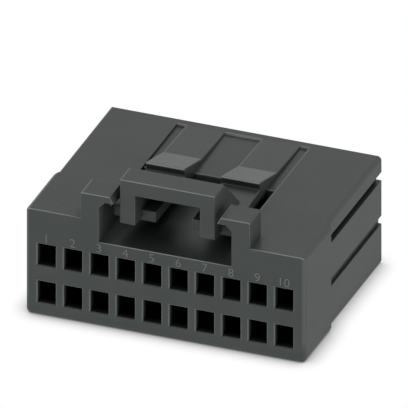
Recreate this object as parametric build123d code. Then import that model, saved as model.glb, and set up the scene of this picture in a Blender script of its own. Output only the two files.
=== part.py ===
from build123d import *
import os

# Moulded housing of a two-row circuit board connector. Sizes are in millimetres.
# X runs along the rows and Z is up from the base. Depths run back from the wire entry face.

# Contact grid
POSITIONS = 10
ROWS = 2
PITCH = 2.54
ROW_SPACING = 3.81
LOWER_ROW_HEIGHT = 2.40

# Contact cavities, entered from the front and stopped by the mating wall
CAVITY_WIDTH = 1.75
CAVITY_HEIGHT = 2.18
CAVITY_LEAD_IN = 0.12
MATING_WALL = 1.40

# Pin entries and locking recesses, open at the mating face
PIN_ENTRY = 1.00
LOCK_RECESS_WIDTH = 1.00
LOCK_RECESS_HEIGHT = 0.50
LOCK_RECESS_DEPTH = 7.00

# Body and the wider collar round its front
DEPTH = 20.36
END_WALL = 0.70
TOP_WALL = 1.31
COLLAR_DEPTH = 6.63
COLLAR_TAPER = 0.67
COLLAR_STEP = 0.445
COLLAR_ROUND = 0.45
BODY_RIGHT_ROUND = 0.40
BODY_LEFT_ROUND = 0.12
BASE_ROUND = 0.20

# Guide grooves along both sides, as (centre above the base, width, depth into the side)
GROOVES = [(4.34, 0.82, 0.30), (8.78, 0.85, 0.52)]

# Bay that the latch lever stands in
BAY_WIDTH = 12.72
BAY_HEIGHT = 2.17
BAY_DEPTH = 11.20
POCKET_DEPTH = 1.80
RECESS_SINK = 0.22
RECESS_BACK_WALL = 0.80

# Latch lever: two arms that grow forward from the root plate and narrow towards it
ARM_GAP = 3.50
ARM_SLOT = 0.86
ARM_SLOT_FRONT = 0.56
ARM_FRONT = 2.20
ARM_THICKNESS = 1.10
ARM_TRAVEL = 1.73
ROOT_THICKNESS = 1.10
ROOT_NOTCH = 0.60

# Catch wedges on the arms: a steep ramp, then a shallow one that ends level with the body
WEDGE_FRONT = 9.45
WEDGE_RISE = 0.74
WEDGE_STEEP_LENGTH = 4.25
WEDGE_SHALLOW_RISE = 0.25

# Press bar: an arch with a sloping hood behind it
PRESS_WIDTH = 9.16
PRESS_FRONT = 0.55
PRESS_RISE = 3.66
PRESS_BAR = 1.47
PRESS_LEG = 1.47
PRESS_LEG_DROP = 0.80
PRESS_TOP_DEPTH = 2.40
HOOD_REACH = 3.95
HOOD_WALL = 1.00

# Guard posts with lips that hold the arms down
POST_WIDTH = 1.80
POST_DEPTH = 2.83
POST_RISE = 2.59
POST_ROUND = 0.20
LIP_REACH = 1.40
LIP_THICKNESS = 0.70
LIP_BRACE = 0.55
LIP_SLANT = 0.38

# Small rounding of the moulded edges, and how far joined shapes run into each other
EDGE_ROUND = 0.12
OVERLAP = 0.50

# Sizes that follow from the ones above
BODY_WIDTH = (POSITIONS - 1) * PITCH + CAVITY_WIDTH + 2 * END_WALL
COLLAR_WIDTH = BODY_WIDTH + 2 * COLLAR_STEP
COLLAR_END = COLLAR_DEPTH + COLLAR_TAPER
UPPER_ROW_HEIGHT = LOWER_ROW_HEIGHT + (ROWS - 1) * ROW_SPACING
BAY_FLOOR = UPPER_ROW_HEIGHT + CAVITY_HEIGHT / 2 + TOP_WALL
BODY_TOP = BAY_FLOOR + BAY_HEIGHT
RECESS_FLOOR = BODY_TOP - RECESS_SINK
RECESS_END = DEPTH - RECESS_BACK_WALL
ROOT_UNDERSIDE = RECESS_FLOOR - ROOT_THICKNESS
ARM_UNDERSIDE = BAY_FLOOR + ARM_TRAVEL
ARM_TOP = ARM_UNDERSIDE + ARM_THICKNESS
PRESS_TOP = ARM_TOP + PRESS_RISE
PRESS_LEG_END = ARM_TOP - PRESS_LEG_DROP
POST_TOP = BODY_TOP + POST_RISE


def at_depth(depth):
    """Y of a depth behind the wire entry face."""
    return depth - DEPTH / 2


def same(value, target):
    """True where two sizes or places are equal."""
    return abs(value - target) < 1e-4


def front_plane(depth):
    """Plane across the housing at a depth. It faces forward, with X and Z as its own axes."""
    return Plane.XZ.offset(-at_depth(depth))


def push_back(sketch, start, end):
    """Solid of a front outline between two depths."""
    return extrude(front_plane(start) * sketch, amount=start - end)


def side_solid(points, left, right):
    """Solid of a side outline, given as (depth, height) points, between two X places."""
    outline = Polyline(*[(at_depth(depth), height) for depth, height in points], close=True)
    return extrude(Plane.YZ.offset(left) * make_face(outline), amount=right - left)


def front_box(left, right, bottom, top):
    """Front outline between two X places and two heights."""
    return Pos((left + right) / 2, (bottom + top) / 2) * Rectangle(right - left, top - bottom)


def collar():
    """Wider front of the body, well rounded outside, which tapers back to the body on both sides."""
    half = COLLAR_WIDTH / 2
    back = BODY_WIDTH / 2
    plan = make_face(Polyline(
        (-half, at_depth(0)), (half, at_depth(0)), (half, at_depth(COLLAR_DEPTH)),
        (back, at_depth(COLLAR_END)), (-back, at_depth(COLLAR_END)), (-half, at_depth(COLLAR_DEPTH)),
        close=True))
    shape = extrude(plan, amount=BODY_TOP)
    rounded = [edge for edge in shape.edges()
               if same(abs(edge.center().X), half) and edge.center().Y < at_depth(COLLAR_DEPTH)
               and (same(edge.center().Y, at_depth(0)) or not same(edge.center().Z, BODY_TOP / 2))]
    front_foot = [edge for edge in shape.edges()
                  if same(edge.center().Y, at_depth(0)) and same(edge.center().Z, 0)]
    return fillet(rounded + front_foot, COLLAR_ROUND)


def rear_body():
    """Body behind the collar, as a rounded outline run back to the mating face."""
    outline = front_box(-BODY_WIDTH / 2, BODY_WIDTH / 2, 0, BODY_TOP)
    outline = fillet(outline.vertices().sort_by(Axis.Y)[:2], BASE_ROUND)
    outline = fillet(outline.vertices().group_by(Axis.Y)[-1].sort_by(Axis.X)[-1], BODY_RIGHT_ROUND)
    outline = fillet(outline.vertices().group_by(Axis.Y)[-1].sort_by(Axis.X)[0], BODY_LEFT_ROUND)
    return push_back(outline, COLLAR_DEPTH, DEPTH)


def guide_grooves():
    """Grooves along both sides of the body, from the collar out through the mating face."""
    return [push_back(Pos(side * BODY_WIDTH / 2, height) * Rectangle(2 * depth, width),
                      COLLAR_END, DEPTH + OVERLAP)
            for side in (-1, 1) for height, width, depth in GROOVES]


def latch_bay():
    """Space cut for the latch lever: bay, pocket under the root, notch and shallow recess."""
    half = BAY_WIDTH / 2
    above = BODY_TOP + OVERLAP
    bay = push_back(front_box(-half, half, BAY_FLOOR, above), -OVERLAP, BAY_DEPTH)
    pocket = push_back(front_box(-half, half, BAY_FLOOR, ROOT_UNDERSIDE), 0, BAY_DEPTH + POCKET_DEPTH)
    notch = push_back(front_box(-ARM_GAP / 2, ARM_GAP / 2, BAY_FLOOR, above), 0, BAY_DEPTH + ROOT_NOTCH)
    recess = push_back(front_box(-half, half, RECESS_FLOOR, above), 0, RECESS_END)
    return bay + pocket + notch + recess


def post():
    """Right guard post beside the lever, with a braced lip that reaches in over the arm."""
    inner = BAY_WIDTH / 2
    outer = inner + POST_WIDTH
    tip = inner - LIP_REACH
    underside = POST_TOP - LIP_THICKNESS
    outline = make_face(Polyline(
        (inner, BAY_FLOOR), (inner, underside - LIP_BRACE), (inner - LIP_BRACE, underside),
        (tip, underside), (tip + LIP_SLANT, POST_TOP), (outer, POST_TOP), (outer, BAY_FLOOR), close=True))
    outline = fillet(outline.vertices().group_by(Axis.Y)[-1].sort_by(Axis.X)[-1], POST_ROUND)
    guard = push_back(outline, 0, POST_DEPTH)
    rear = [edge for edge in guard.edges()
            if same(edge.center().Y, at_depth(POST_DEPTH)) and edge.center().Z > BODY_TOP]
    return fillet(rear, EDGE_ROUND)


def body():
    """Body, collar and posts, cut for the lever, with the edges of the front rounded."""
    shape = collar() + rear_body() + post() + mirror(post(), about=Plane.YZ) - latch_bay() - guide_grooves()
    flat_front = COLLAR_WIDTH / 2 - COLLAR_ROUND
    front = [edge for edge in shape.edges()
             if same(edge.center().Y, at_depth(0)) and edge.center().Z > BAY_FLOOR - EDGE_ROUND
             and abs(edge.center().X) < flat_front - EDGE_ROUND]
    return fillet(front, EDGE_ROUND)


def arm():
    """Right arm of the lever with its catch wedge, from its front end to the end of the ramp."""
    inner = ARM_GAP / 2
    outer = BAY_WIDTH / 2 - ARM_SLOT
    front_outer = BAY_WIDTH / 2 - ARM_SLOT_FRONT
    haunch = ARM_UNDERSIDE - ROOT_UNDERSIDE
    knee = WEDGE_FRONT + WEDGE_STEEP_LENGTH
    side = side_solid(
        [(ARM_FRONT, ARM_UNDERSIDE), (ARM_FRONT, ARM_TOP), (WEDGE_FRONT, ARM_TOP),
         (WEDGE_FRONT, ARM_TOP + WEDGE_RISE), (knee, BODY_TOP + WEDGE_SHALLOW_RISE), (RECESS_END, BODY_TOP),
         (RECESS_END, RECESS_FLOOR - OVERLAP), (BAY_DEPTH + OVERLAP, RECESS_FLOOR - OVERLAP),
         (BAY_DEPTH + OVERLAP, ROOT_UNDERSIDE), (BAY_DEPTH, ROOT_UNDERSIDE),
         (BAY_DEPTH - haunch, ARM_UNDERSIDE)], inner, front_outer)
    plan = make_face(Polyline(
        (inner, at_depth(ARM_FRONT)), (front_outer, at_depth(ARM_FRONT)), (outer, at_depth(WEDGE_FRONT)),
        (outer, at_depth(RECESS_END)), (inner, at_depth(RECESS_END)), close=True))
    shape = side & extrude(plan, amount=PRESS_TOP)
    rounded = []
    for edge in shape.edges():
        place = edge.center()
        across = abs(edge.tangent_at(0.5).X) > 0.9
        front = same(place.Y, at_depth(ARM_FRONT))
        tip = same(place.Z, ARM_TOP + WEDGE_RISE)
        below_catch = same(place.Y, at_depth(WEDGE_FRONT)) and place.Z < ARM_TOP
        if front or tip or (place.Z > BODY_TOP and not across and not below_catch):
            rounded.append(edge)
    return fillet(rounded, EDGE_ROUND)


def press_bar():
    """Arch that is pressed to open the latch, with its hollow hood sloping down to the arms."""
    half = PRESS_WIDTH / 2
    inside = half - PRESS_LEG
    top_end = PRESS_FRONT + PRESS_TOP_DEPTH
    hood_end = top_end + HOOD_REACH
    shape = side_solid(
        [(PRESS_FRONT, PRESS_LEG_END), (PRESS_FRONT, PRESS_TOP), (top_end, PRESS_TOP), (hood_end, ARM_TOP),
         (ARM_FRONT + OVERLAP, ARM_TOP), (ARM_FRONT + OVERLAP, PRESS_LEG_END)], -half, half)
    # The hollow follows the bar's underside and then runs parallel to the slope of the hood.
    slope = HOOD_REACH / PRESS_RISE
    inner_end = hood_end - HOOD_WALL * (1 + slope ** 2) ** 0.5
    ceiling = PRESS_TOP - PRESS_BAR
    hollow = side_solid(
        [(0, PRESS_LEG_END), (0, ceiling), (inner_end - slope * (ceiling - ARM_TOP), ceiling),
         (inner_end, ARM_TOP), (inner_end, PRESS_LEG_END)], -inside, inside)
    shape = shape - hollow
    outer = [edge for edge in shape.edges()
             if same(edge.center().Y, at_depth(PRESS_FRONT)) or same(edge.center().Z, PRESS_TOP)
             or (same(abs(edge.center().X), half) and edge.center().Y > at_depth(top_end))
             and edge.center().Z > ARM_TOP + EDGE_ROUND]
    return fillet(outer, EDGE_ROUND)


def contact_cavity():
    """Space of one contact: cavity, locking recess above it and pin entry behind it."""
    end = DEPTH - MATING_WALL
    half = LOCK_RECESS_WIDTH / 2
    ceiling = CAVITY_HEIGHT / 2
    mouth = Rectangle(CAVITY_WIDTH + 2 * CAVITY_LEAD_IN, CAVITY_HEIGHT + 2 * CAVITY_LEAD_IN)
    mouth = push_back(mouth, -CAVITY_LEAD_IN, CAVITY_LEAD_IN)
    mouth = chamfer(mouth.edges().group_by(Axis.Y)[-1], CAVITY_LEAD_IN)
    recess = front_box(-half, half, ceiling, ceiling + LOCK_RECESS_HEIGHT)
    space = push_back(Rectangle(CAVITY_WIDTH, CAVITY_HEIGHT), 0, end) + mouth
    space += push_back(recess, DEPTH - LOCK_RECESS_DEPTH, DEPTH)
    space += push_back(Rectangle(PIN_ENTRY, PIN_ENTRY), end, DEPTH)
    return space


def contact_cavities():
    """The spaces of all contacts, row by row."""
    first = -(POSITIONS - 1) * PITCH / 2
    space = contact_cavity()
    return [Pos(first + column * PITCH, 0, LOWER_ROW_HEIGHT + row * ROW_SPACING) * space
            for row in range(ROWS) for column in range(POSITIONS)]


def housing():
    """The whole moulding."""
    lever_arm = arm()
    shape = body() + lever_arm + mirror(lever_arm, about=Plane.YZ) + press_bar()
    return shape - contact_cavities()


os.makedirs("parts", exist_ok=True)
moulding = housing()
export_step(moulding, "parts/housing.step")
print("housing", len(moulding.solids()), "solids", round(moulding.volume, 2), moulding.bounding_box())
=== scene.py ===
import math

import bpy
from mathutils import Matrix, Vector


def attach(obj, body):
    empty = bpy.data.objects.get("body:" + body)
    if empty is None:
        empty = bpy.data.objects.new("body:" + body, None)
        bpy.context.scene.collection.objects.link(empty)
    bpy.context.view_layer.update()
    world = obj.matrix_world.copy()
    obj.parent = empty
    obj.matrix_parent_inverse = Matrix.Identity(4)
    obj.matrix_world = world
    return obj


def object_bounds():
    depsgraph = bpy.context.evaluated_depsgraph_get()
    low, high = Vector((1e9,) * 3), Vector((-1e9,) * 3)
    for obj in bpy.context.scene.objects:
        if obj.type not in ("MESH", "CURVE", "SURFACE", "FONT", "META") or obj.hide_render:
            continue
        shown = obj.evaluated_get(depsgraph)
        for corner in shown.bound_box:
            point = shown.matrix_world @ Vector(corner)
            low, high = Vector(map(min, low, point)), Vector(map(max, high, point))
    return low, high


# Two-row circuit board connector housing, loaded as the fixed frame. Everything is in metres, in the
# row frame: X along the rows, Y towards the mating face, Z up from the base the housing lies on.
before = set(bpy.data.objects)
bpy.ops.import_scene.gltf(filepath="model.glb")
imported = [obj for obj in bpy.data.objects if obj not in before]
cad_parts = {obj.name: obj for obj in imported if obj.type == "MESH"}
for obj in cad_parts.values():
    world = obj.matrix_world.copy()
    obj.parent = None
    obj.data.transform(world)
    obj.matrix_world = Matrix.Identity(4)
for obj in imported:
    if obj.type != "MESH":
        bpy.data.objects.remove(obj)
cad_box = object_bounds()

# Housing
# One moulding with two rows of ten contact cavities, a latch lever, two guard posts and guide grooves. It is
# dark grey glass-filled polyester (PBT), injected into a steel mould whose faces were spark-eroded.
MM = 0.001


def paint(hex_colour):
    """Linear RGBA of an sRGB hex colour."""
    values = [int(hex_colour[i:i + 2], 16) / 255 for i in (1, 3, 5)]
    return [v / 12.92 if v <= 0.04045 else ((v + 0.055) / 1.055) ** 2.4 for v in values] + [1.0]


def add(tree, kind, inputs=(), **settings):
    """Adds a node. Settings are its properties or sockets by name, and inputs are (socket, source)
    pairs, where the source is another node's output or a plain value."""
    node = tree.nodes.new("ShaderNode" + kind)
    for name, value in settings.items():
        if hasattr(node, name):
            setattr(node, name, value)
        else:
            node.inputs[name.replace("_", " ")].default_value = value
    for socket, source in inputs:
        if isinstance(source, bpy.types.NodeSocket):
            tree.links.new(source, node.inputs[socket])
        else:
            node.inputs[socket].default_value = source
    return node


# Moulded PBT has a satin skin: a fine eroded grain that softens reflections, and faint flow marks about
# 4 mm apart. The grain is really near 0.02 mm, and is drawn 0.09 mm coarse so that it shows.
FLOW_MARKS = 3.846 * MM
GRAIN = 0.0909 * MM
moulded_pbt = bpy.data.materials.new("moulded_pbt")
moulded_pbt.use_nodes = True
tree = moulded_pbt.node_tree
tree.nodes.clear()
coords = add(tree, "TexCoord")
place = coords.outputs["Object"]
at = add(tree, "SeparateXYZ", [("Vector", place)])
facing = add(tree, "SeparateXYZ", [("Vector", coords.outputs["Normal"])])
flow = add(tree, "TexNoise", [("Vector", place)], Scale=1 / FLOW_MARKS, Detail=4.0, Roughness=0.55)
grain = add(tree, "TexNoise", [("Vector", place)], Scale=1 / GRAIN, Detail=3.0, Roughness=0.6)
mottle = add(tree, "ValToRGB", [("Fac", flow.outputs["Fac"])])
for stop, position, colour in zip(mottle.color_ramp.elements, (0.3, 0.7), ("#464a49", "#4a4e4d")):
    stop.position = position
    stop.color = paint(colour)

# Corners and narrow gaps get less light, so their colour is darkened there as painted shade. The share of
# open air within 2.2 mm tells how deep a place lies.
AIR_REACH = 2.2 * MM
air = add(tree, "AmbientOcclusion", samples=16, Distance=AIR_REACH).outputs["AO"]
open_air = add(tree, "MapRange", [("Value", air)], From_Min=0.1, From_Max=0.36)

# The contact cavities are painted black from just behind their mouths, as painted shade for their dark
# depths. They fill one block of the housing, which is given as its middle and half its size along each axis.
CAVITY_BLOCK = {"X": (0.0, 12.6 * MM), "Y": (0.0, 10.17 * MM), "Z": (4.4 * MM, 3.6 * MM)}
FADE_START = 0.05 * MM
FADE_END = 0.98 * MM
entry_face = cad_box[0].y
in_block = None
for axis, (middle, half_size) in CAVITY_BLOCK.items():
    within = add(tree, "Math", [(0, at.outputs[axis]), (1, middle), (2, half_size)], operation="COMPARE")
    if in_block is not None:
        within = add(tree, "Math", [(0, in_block), (1, within.outputs["Value"])], operation="MULTIPLY")
    in_block = within.outputs["Value"]
behind_mouth = add(tree, "MapRange", [("Value", at.outputs["Y"])], From_Min=entry_face + FADE_START,
                   From_Max=entry_face + FADE_END)
cavity_shade = add(tree, "Math", [(0, in_block), (1, behind_mouth.outputs["Result"])], operation="MULTIPLY")
lit = add(tree, "Math", [(0, open_air.outputs["Result"]), (1, cavity_shade.outputs["Value"])],
          operation="SUBTRACT", use_clamp=True)

# The rounded front edges are painted paler as a painted highlight, most where they face up and stand free.
# The mouths of the contact cavities get a little painted highlight on their upright sides.
turned_front = add(tree, "MapRange", [("Value", facing.outputs["Y"])], From_Min=-0.25, From_Max=-0.5)
off_flat = add(tree, "MapRange", [("Value", facing.outputs["Y"])], From_Min=-0.98, From_Max=-0.88)
round_front = add(tree, "Math", [(0, turned_front.outputs["Result"]), (1, off_flat.outputs["Result"])],
                  operation="MULTIPLY")
faces_up = add(tree, "MapRange", [("Value", facing.outputs["Z"])], From_Min=0.05, From_Max=0.5, To_Min=0.12)
stands_free = add(tree, "MapRange", [("Value", air)], From_Min=0.9, From_Max=0.99, To_Min=0.08)
top_edge = add(tree, "Math", [(0, faces_up.outputs["Result"]), (1, stands_free.outputs["Result"])],
               operation="MULTIPLY")
mouth_edge = add(tree, "MapRange", [("Value", facing.outputs["Z"])], From_Min=0.1, From_Max=0.2, To_Min=0.3,
                 To_Max=0.0)
edge_highlight_share = add(tree, "Mix", [(0, in_block), (2, top_edge.outputs["Value"]),
                              (3, mouth_edge.outputs["Result"])])
front_edge_highlight = add(tree, "Math", [(0, round_front.outputs["Value"]), (1, edge_highlight_share.outputs["Result"])],
                operation="MULTIPLY")

# Crisp upper edges carry a painted highlight line too, where they turn left or, behind the press bar, where
# they turn to the front. The line is as wide as the rounded strip on each side of the edge.
HIGHLIGHT_STRIP = 0.34 * MM
BEHIND_PRESS_BAR = (-1.6 * MM, -1.5 * MM)
highlight_bevel = add(tree, "Bevel", samples=6, Radius=HIGHLIGHT_STRIP)
turn = add(tree, "SeparateXYZ", [("Vector", highlight_bevel.outputs["Normal"])])
leftward = add(tree, "MapRange", [("Value", turn.outputs["X"])], From_Min=-0.08, From_Max=-0.5, To_Max=0.5)
outer_corner = add(tree, "MapRange", [("Value", air)], From_Min=0.64, From_Max=0.8)
left_line = add(tree, "Math", [(0, leftward.outputs["Result"]), (1, outer_corner.outputs["Result"])],
                operation="MULTIPLY")
frontward = add(tree, "MapRange", [("Value", turn.outputs["Y"])], From_Min=-0.2, From_Max=-0.6)
behind_bar = add(tree, "MapRange", [("Value", at.outputs["Y"])], From_Min=BEHIND_PRESS_BAR[0],
                 From_Max=BEHIND_PRESS_BAR[1], To_Max=0.9)
front_line = add(tree, "Math", [(0, frontward.outputs["Result"]), (1, behind_bar.outputs["Result"])],
                 operation="MULTIPLY")
either_line = add(tree, "Math", [(0, left_line.outputs["Value"]), (1, front_line.outputs["Value"])],
                  operation="MAXIMUM")
turns_up = add(tree, "MapRange", [("Value", turn.outputs["Z"])], From_Min=0.25, From_Max=0.5)
edge_highlight_line = add(tree, "Math", [(0, either_line.outputs["Value"]), (1, turns_up.outputs["Result"])],
                operation="MULTIPLY")
painted_highlight = add(tree, "Math", [(0, front_edge_highlight.outputs["Value"]), (1, edge_highlight_line.outputs["Value"])],
          operation="MAXIMUM")

# The low wall at the far end of the recess in the top catches light. It gets a painted highlight, paler than
# the skin round it, and no painted shade.
# The wall is found by its distance from the wire entry face and its height over the base.
RECESS_END = 19.56 * MM
RECESS_LEVEL = 10.0 * MM
SKIN_DEPTH = 0.03 * MM
END_HIGHLIGHT_SHARE = 0.55
at_end = add(tree, "Math", [(0, at.outputs["Y"]), (1, entry_face + RECESS_END), (2, SKIN_DEPTH)],
             operation="COMPARE")
high = add(tree, "Math", [(0, at.outputs["Z"]), (1, RECESS_LEVEL)], operation="GREATER_THAN")
high_end = add(tree, "Math", [(0, at_end.outputs["Value"]), (1, high.outputs["Value"])], operation="MULTIPLY")
end_wall = add(tree, "Math", [(0, high_end.outputs["Value"]), (1, turned_front.outputs["Result"])],
               operation="MULTIPLY")
lit = add(tree, "Math", [(0, lit.outputs["Value"]), (1, end_wall.outputs["Value"])], operation="MAXIMUM")
end_wall_highlight = add(tree, "Math", [(0, end_wall.outputs["Value"]), (1, END_HIGHLIGHT_SHARE)], operation="MULTIPLY")

# The upright front of each catch wedge has a painted highlight along its crest and painted shade below it.
# Each band is given by the heights over the base at which it starts and reaches its full strength.
WEDGE_FRONT = 9.45 * MM
CREST_HIGHLIGHT_BAND = (11.96 * MM, 12.1 * MM)
FOOT_SHADE_BAND = (12.04 * MM, 11.9 * MM)
at_wedge = add(tree, "Math", [(0, at.outputs["Y"]), (1, entry_face + WEDGE_FRONT), (2, SKIN_DEPTH)],
               operation="COMPARE")
wedge_front = add(tree, "Math", [(0, at_wedge.outputs["Value"]), (1, turned_front.outputs["Result"])],
                  operation="MULTIPLY")
crest_height = add(tree, "MapRange", [("Value", at.outputs["Z"])], From_Min=CREST_HIGHLIGHT_BAND[0],
                   From_Max=CREST_HIGHLIGHT_BAND[1], To_Max=0.75)
crest_highlight = add(tree, "Math", [(0, crest_height.outputs["Result"]), (1, wedge_front.outputs["Value"])],
            operation="MULTIPLY")
foot_height = add(tree, "MapRange", [("Value", at.outputs["Z"])], From_Min=FOOT_SHADE_BAND[0],
                  From_Max=FOOT_SHADE_BAND[1], To_Max=0.6)
foot_shade = add(tree, "Math", [(0, foot_height.outputs["Result"]), (1, wedge_front.outputs["Value"])],
           operation="MULTIPLY")
lit = add(tree, "Math", [(0, lit.outputs["Value"]), (1, foot_shade.outputs["Value"])], operation="SUBTRACT",
          use_clamp=True)
pale_highlight = add(tree, "Math", [(0, end_wall_highlight.outputs["Value"]), (1, crest_highlight.outputs["Value"])], operation="MAXIMUM")

# The shades go on in order: the grey skin, its painted edge highlights, its palest painted highlights, and
# painted shade, black where no light gets in. Narrow places also lose their sheen.
with_edge_highlights = add(tree, "Mix", [(0, painted_highlight.outputs["Value"]), (6, mottle.outputs["Color"]), (7, paint("#9ea2a1"))],
             data_type="RGBA")
with_pale_highlights = add(tree, "Mix", [(0, pale_highlight.outputs["Value"]), (6, with_edge_highlights.outputs[2]), (7, paint("#e6e8e7"))],
             data_type="RGBA")
colour = add(tree, "Mix", [(0, lit.outputs["Value"]), (6, paint("#050505")), (7, with_pale_highlights.outputs[2])],
             data_type="RGBA")
satin = add(tree, "MapRange", [("Value", grain.outputs["Fac"])], From_Min=0.3, From_Max=0.7, To_Min=0.27,
            To_Max=0.31)
relief = add(tree, "Bump", [("Height", grain.outputs["Fac"])], Strength=0.05, Distance=0.01 * MM)
sheen = add(tree, "MapRange", [("Value", air)], From_Min=0.35, From_Max=0.84, To_Min=0.04, To_Max=0.5)
dull = add(tree, "Math", [(0, cavity_shade.outputs["Value"]), (1, 0.5)], operation="MULTIPLY")
shine = add(tree, "Math", [(0, sheen.outputs["Result"]), (1, dull.outputs["Value"])], operation="SUBTRACT",
            use_clamp=True)
skin = add(tree, "BsdfPrincipled", [("Base Color", colour.outputs[2]), ("Roughness", satin.outputs["Result"]),
                                    ("Normal", relief.outputs["Normal"]),
                                    ("Specular IOR Level", shine.outputs["Value"])],
           IOR=1.5, Specular_Tint=paint("#f7fffd"))
add(tree, "OutputMaterial", [("Surface", skin.outputs["BSDF"])])
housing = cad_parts["housing"]
housing.data.materials.clear()
housing.data.materials.append(moulded_pbt)

# Contact numbers
# Raised digits 1 to 10 on the wire entry face, one number over each cavity of the upper row. They are moulded
# with the housing, stand 0.04 mm proud, are a little rougher than the face, and are painted paler than it as
# a painted highlight for the light their raised edges catch.
POSITIONS = 10
PITCH = 2.54 * MM
DIGIT_HEIGHT = 1.24 * MM
DIGIT_BASELINE = 7.57 * MM
STANDS_PROUD = 0.04 * MM
STROKE_TRIM = -0.006 * MM
DIGIT_GRAIN = 0.1111 * MM
highlighted_digit_pbt = bpy.data.materials.new("highlighted_digit_pbt")
highlighted_digit_pbt.use_nodes = True
tree = highlighted_digit_pbt.node_tree
tree.nodes.clear()
place = add(tree, "TexCoord").outputs["Object"]
grain = add(tree, "TexNoise", [("Vector", place)], Scale=1 / DIGIT_GRAIN, Detail=3.0, Roughness=0.6)
# The digits' grain tone, lightened as a painted highlight.
grain_and_highlight = add(tree, "ValToRGB", [("Fac", grain.outputs["Fac"])])
for stop, position, colour in zip(grain_and_highlight.color_ramp.elements, (0.35, 0.65), ("#6c706f", "#767a79")):
    stop.position = position
    stop.color = paint(colour)
skin = add(tree, "BsdfPrincipled", [("Base Color", grain_and_highlight.outputs["Color"])], Roughness=0.4, IOR=1.5)
add(tree, "OutputMaterial", [("Surface", skin.outputs["BSDF"])])
bpy.ops.object.select_all(action="DESELECT")
digits = []
for number in range(POSITIONS):
    bpy.ops.object.text_add(location=(0, 0, 0))
    text = bpy.context.object
    text.data.body = str(number + 1)
    text.data.size = DIGIT_HEIGHT
    text.data.align_x = "CENTER"
    text.data.offset = STROKE_TRIM
    text.data.extrude = STANDS_PROUD
    text.data.resolution_u = 6
    bpy.ops.object.convert(target="MESH")
    digit = bpy.context.object
    digit.location = ((number - (POSITIONS - 1) / 2) * PITCH, entry_face, DIGIT_BASELINE)
    digit.rotation_euler = (math.radians(90), 0, 0)
    bpy.ops.object.transform_apply(location=True, rotation=True, scale=True)
    digits.append(digit)
bpy.ops.object.select_all(action="DESELECT")
for digit in digits:
    digit.select_set(True)
bpy.context.view_layer.objects.active = digits[0]
bpy.ops.object.join()
numbers = bpy.context.object
numbers.name = "contact_numbers"
numbers.data.materials.clear()
numbers.data.materials.append(highlighted_digit_pbt)
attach(numbers, "root")

# Floor
# Plain white sweep of matt paper. It looks white, throws soft light up at the housing, shows less bright in
# glossy reflections, and has the soft shadow of the housing painted into it from the share of open air, set
# as (share of open air, brightness).
FLOOR_SIZE = 1.6
FLOOR_DROP = 0.02 * MM
SHADOW_REACH = 2.2 * MM
SHADOW = [(0.2, 0.12), (0.4, 0.36), (0.5, 0.46), (0.6, 0.61), (0.7, 0.75), (0.8, 0.86), (0.9, 0.96),
          (0.96, 1.0)]
WHITE = paint("#ffffff")
bpy.ops.object.select_all(action="DESELECT")
bpy.ops.mesh.primitive_plane_add(size=FLOOR_SIZE, location=(0, 0, -FLOOR_DROP))
floor = bpy.context.object
floor.name = "floor"
white_paper = bpy.data.materials.new("white_sweep")
white_paper.use_nodes = True
tree = white_paper.node_tree
tree.nodes.clear()
path = add(tree, "LightPath")
foot_air = add(tree, "AmbientOcclusion", samples=32, Distance=SHADOW_REACH)
shadow = add(tree, "ValToRGB", [("Fac", foot_air.outputs["AO"])])
ramp = shadow.color_ramp
for position, level in SHADOW:
    stop = ramp.elements.new(position)
    stop.color = (level, level, level, 1)
ramp.elements.remove(ramp.elements[0])
ramp.elements.remove(ramp.elements[-1])
seen = add(tree, "Emission", [("Color", shadow.outputs["Color"])], Strength=1.0)
mirrored = add(tree, "Emission", Color=WHITE, Strength=0.31)
thrown = add(tree, "Emission", Color=WHITE, Strength=1.25)
unseen = add(tree, "MixShader", [("Fac", path.outputs["Is Glossy Ray"]), (1, thrown.outputs["Emission"]),
                                 (2, mirrored.outputs["Emission"])])
paper = add(tree, "MixShader", [("Fac", path.outputs["Is Camera Ray"]), (1, unseen.outputs["Shader"]),
                                (2, seen.outputs["Emission"])])
add(tree, "OutputMaterial", [("Surface", paper.outputs["Shader"])])
floor.data.materials.append(white_paper)

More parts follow.
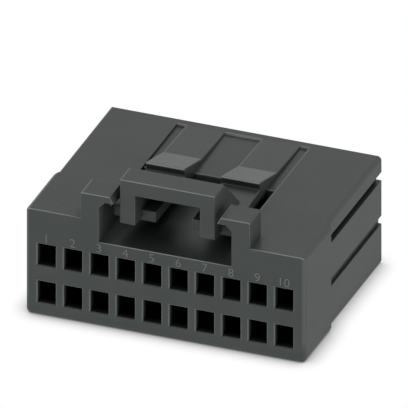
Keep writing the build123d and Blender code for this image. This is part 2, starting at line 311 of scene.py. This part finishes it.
# Light
# A white tent, whose walls show in glossy reflections. Soft panels light the housing from the left, the
# right, high behind and, weakly, high in front. A small low one behind shows only in the wedge ramps. All of
# them face the place that the camera is aimed at.
scene = bpy.context.scene
world = bpy.data.worlds.new("studio")
scene.world = world
world.use_nodes = True
tree = world.node_tree
tree.nodes.clear()
path = add(tree, "LightPath")
room = add(tree, "Background", Color=WHITE, Strength=0.08)
tent = add(tree, "Background", Color=WHITE, Strength=0.6)
backdrop = add(tree, "Background", Color=WHITE, Strength=1.0)
unseen = add(tree, "MixShader", [("Fac", path.outputs["Is Glossy Ray"]), (1, room.outputs["Background"]),
                                 (2, tent.outputs["Background"])])
studio = add(tree, "MixShader", [("Fac", path.outputs["Is Camera Ray"]), (1, unseen.outputs["Shader"]),
                                 (2, backdrop.outputs["Background"])])
add(tree, "OutputWorld", [("Surface", studio.outputs["Shader"])])
PANEL_DISTANCE = 0.5
target = Vector((0.634, -2.08, 9.75)) * MM
for name, direction, size, power, soft in [
        ("left_panel", (-1.0, -0.3, 0.15), 0.2, 1.0, True),
        ("right_panel", (1.0, -0.1, 0.2), 0.3, 0.8, True),
        ("top_panel", (0.0, 0.8, 1.0), 0.3, 0.97, True),
        ("front_panel", (0.0, -1.0, 1.0), 0.3, 0.18, True),
        ("back_glint", (-0.315, 0.95, 0.06), 0.15, 0.018, False)]:
    lamp = bpy.data.lights.new(name, "AREA")
    lamp.shape = "SQUARE"
    lamp.size = size
    lamp.energy = power
    panel = bpy.data.objects.new(name, lamp)
    scene.collection.objects.link(panel)
    away = Vector(direction).normalized()
    panel.location = target + away * PANEL_DISTANCE
    panel.rotation_mode = "QUATERNION"
    panel.rotation_quaternion = away.to_track_quat("Z", "Y")
    panel.visible_camera = False
    panel.visible_diffuse = soft
    panel.visible_glossy = not soft

# Camera
# Parallel projection, aimed between the press bar and the wedges from 21.04 degrees round to the right and
# 28.66 degrees up.
FRAME_WIDTH = 36.658 * MM
CAMERA_DISTANCE = 0.2
azimuth = math.radians(21.0392)
elevation = math.radians(28.663)
back = Vector((math.sin(azimuth) * math.cos(elevation), -math.cos(azimuth) * math.cos(elevation),
               math.sin(elevation)))
lens = bpy.data.cameras.new("camera")
lens.type = "ORTHO"
lens.ortho_scale = FRAME_WIDTH
lens.clip_start = 0.01
lens.clip_end = 2.0
camera = bpy.data.objects.new("camera", lens)
scene.collection.objects.link(camera)
camera.location = target + back * CAMERA_DISTANCE
camera.rotation_mode = "QUATERNION"
camera.rotation_quaternion = (-back).to_track_quat("-Z", "Y")
scene.camera = camera
scene.view_settings.view_transform = "Standard"
